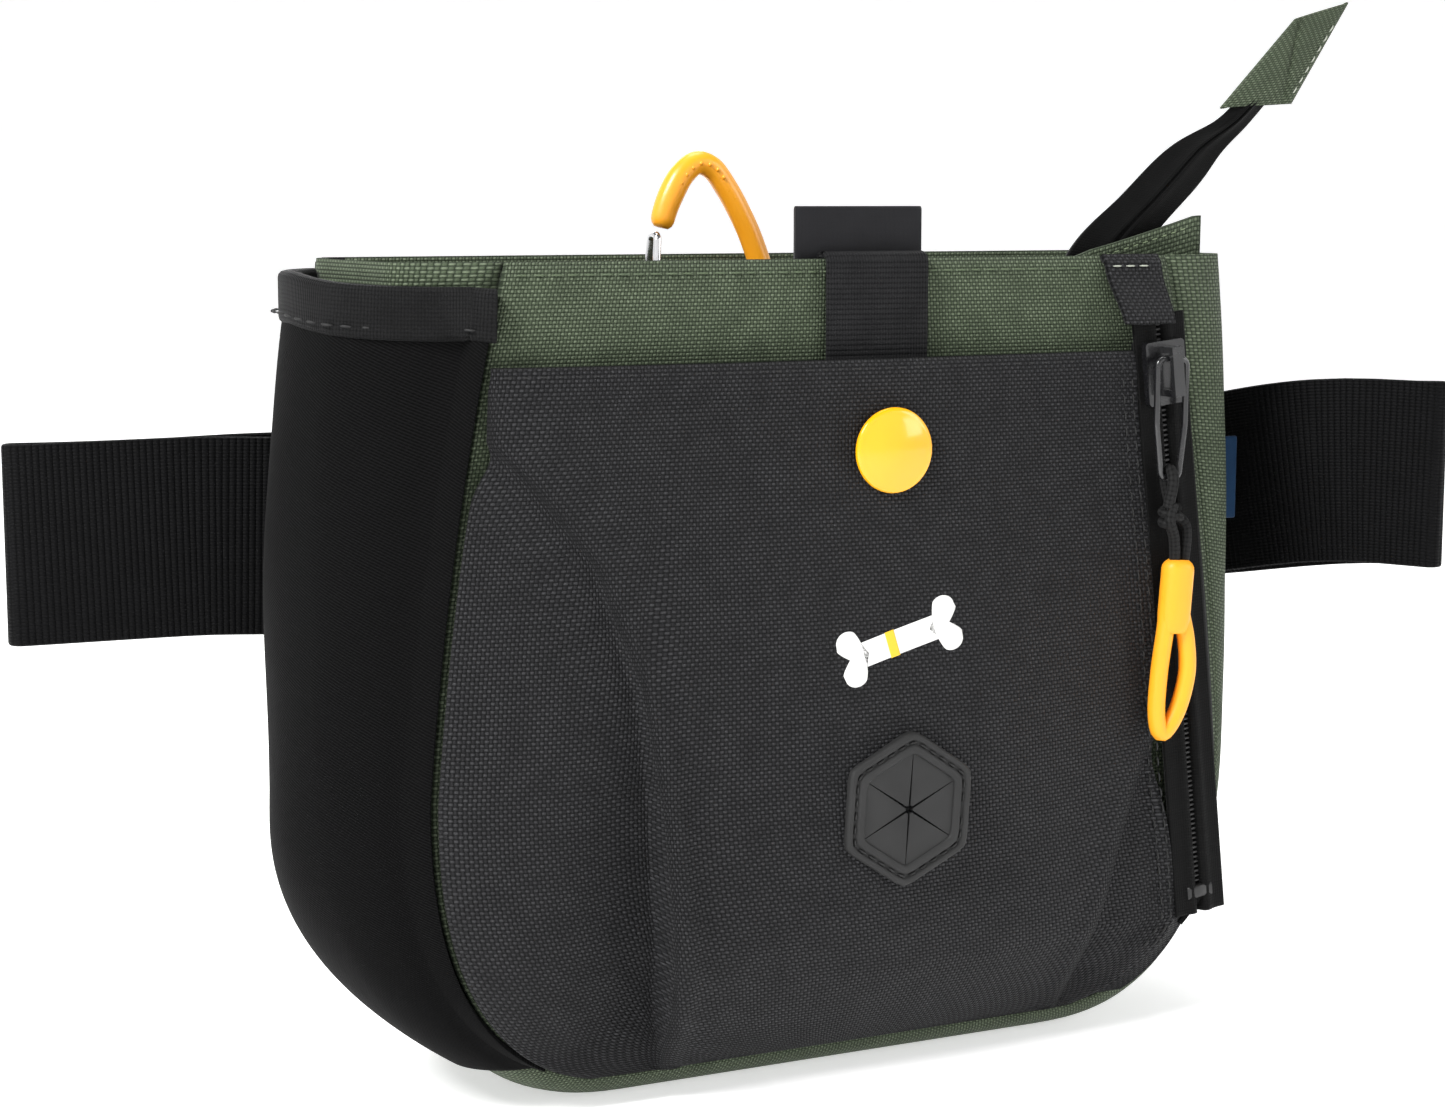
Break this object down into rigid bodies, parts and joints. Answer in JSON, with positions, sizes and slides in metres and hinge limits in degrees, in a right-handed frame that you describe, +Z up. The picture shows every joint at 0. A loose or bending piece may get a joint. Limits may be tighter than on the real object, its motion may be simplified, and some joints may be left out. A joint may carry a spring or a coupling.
{
  "type": "treat pouch",
  "caption": "Soft belt pouch for dog treats with a front bag pocket and rubber port, side stretch pocket, zip pocket, carabiner and webbing waist belt.",
  "frame": {"origin": "centre of the flat stretch of the bottom gusset that the pouch stands on", "axes": "+Z up, -Y is the front, +X to the viewer's right when looking at the front"},
  "size_m": [0.2746, 0.0862, 0.2126],
  "materials": {
    "green_cloth": "plain-weave pack cloth, matt",
    "charcoal_cloth": "ballistic weave, matt",
    "back_cloth": "padded back cloth, matt",
    "lining": "smooth coated lining",
    "stretch_cloth": "fine diagonal stretch weave",
    "elastic": "ribbed elastic",
    "webbing": "ribbed webbing",
    "zip_tape": "woven zip tape",
    "zip_coil": "coil",
    "black_metal": "black lacquer, glossy",
    "cord": "braided cord",
    "orange_rubber": "soft moulded, satin",
    "yellow_gloss": "glossy",
    "press_metal": "pressed steel",
    "black_rubber": "matt rubber",
    "label_cloth": "satin label",
    "navy_cloth": "satin label",
    "orange_coat": "powder coat, satin",
    "spring_wire": "polished wire",
    "black_plastic": "moulded, fine grain"
  },
  "bodies": {
    "pouch": {"back_panel": "back_cloth", "bag_port_flaps": "black_rubber", "bag_port_rim": "black_rubber", "belt_keeper": "elastic", "belt_sleeve": "back_cloth", "belt_webbing": "webbing", "buckle_socket": "black_plastic", "carabiner_anchor": "webbing", "elastic_binding": "elastic", "front_panel": "green_cloth", "front_pocket": "charcoal_cloth", "gusset_bottom": "green_cloth", "gusset_left": "green_cloth", "gusset_right": "green_cloth", "placket_back": "green_cloth", "placket_end": "green_cloth", "placket_front": "green_cloth", "rim_facing_back": "green_cloth", "rim_facing_front": "green_cloth", "rim_label": "label_cloth", "side_label": "navy_cloth", "stretch_pocket": "stretch_cloth", "stud_cap": "yellow_gloss", "stud_post": "press_metal", "stud_socket": "press_metal", "tail_anchor": "zip_tape", "tail_end_tab": "green_cloth", "webbing_tab": "webbing", "zip_border": "charcoal_cloth", "zip_bottom_stop": "zip_coil", "zip_chain": "zip_coil", "zip_pocket_bag": "lining", "zip_tail": "zip_tape", "zip_tape_left": "zip_tape", "zip_tape_right": "zip_tape", "zip_top_cover": "charcoal_cloth"},
    "front_slider": {"zip_slider": "black_metal"},
    "front_pull": {"zip_pull": "black_metal"},
    "front_puller": {"pull_cord": "cord", "zip_puller": "orange_rubber"},
    "tail_slider": {"top_zip_slider": "black_metal"},
    "tail_pull": {"top_zip_pull": "black_metal"},
    "carabiner_body": {"carabiner": "orange_coat"},
    "carabiner_gate_wire": {"carabiner_gate": "spring_wire"},
    "buckle_plug_half": {"buckle_plug": "black_plastic"},
    "prong_upper": {"buckle_prong_upper": "black_plastic"},
    "prong_lower": {"buckle_prong_lower": "black_plastic"},
    "belt_slider_body": {"belt_slider": "black_plastic"}
  },
  "joints": [
    {"name": "front_zip_slide", "type": "slide", "parent": "pouch", "child": "front_slider", "axis": [0.1112, 0, -0.9938], "range_m": [0, 0.094]},
    {"name": "front_pull_hinge", "type": "hinge", "parent": "front_slider", "child": "front_pull", "pos_m": [0.06495, -0.0344, 0.13554], "axis": [-1, 0, 0], "range_deg": [0, 100]},
    {"name": "front_puller_hinge", "type": "hinge", "parent": "front_pull", "child": "front_puller", "pos_m": [0.06495, -0.0344, 0.11254], "axis": [-1, 0, 0], "range_deg": [0, 90]},
    {"name": "tail_zip_slide", "type": "slide", "parent": "pouch", "child": "tail_slider", "axis": [0.723, 0, 0.6909], "range_m": [0, 0.036]},
    {"name": "tail_pull_hinge", "type": "hinge", "parent": "tail_slider", "child": "tail_pull", "pos_m": [0.0612, -0.0056, 0.15192], "axis": [0.6909, 0, -0.723], "range_deg": [0, 90]},
    {"name": "carabiner_swing", "type": "hinge", "parent": "pouch", "child": "carabiner_body", "pos_m": [-0.013, 0.012, 0.1282], "axis": [1, 0, 0], "range_deg": [-4, 35]},
    {"name": "carabiner_gate_hinge", "type": "hinge", "parent": "carabiner_body", "child": "carabiner_gate_wire", "pos_m": [-0.0266, 0.012, 0.1344], "axis": [0, 1, 0], "range_deg": [0, 25], "stiffness_Nm_per_rad": 0.08, "springref_deg": -14.32},
    {"name": "buckle_release_slide", "type": "slide", "parent": "pouch", "child": "buckle_plug_half", "axis": [1, 0, 0], "range_m": [0, 0.03]},
    {"name": "prong_upper_hinge", "type": "hinge", "parent": "buckle_plug_half", "child": "prong_upper", "pos_m": [0.0016, 0.0402, 0.1216], "axis": [0, -1, 0], "range_deg": [0, 10], "stiffness_Nm_per_rad": 0.6, "springref_deg": -2.29},
    {"name": "prong_lower_hinge", "type": "hinge", "parent": "buckle_plug_half", "child": "prong_lower", "pos_m": [0.0016, 0.0402, 0.0834], "axis": [0, 1, 0], "range_deg": [0, 10], "stiffness_Nm_per_rad": 0.6, "springref_deg": -2.29},
    {"name": "belt_slider_slide", "type": "slide", "parent": "pouch", "child": "belt_slider_body", "axis": [1, 0, 0], "range_m": [-0.025, 0.008]}
  ]
}
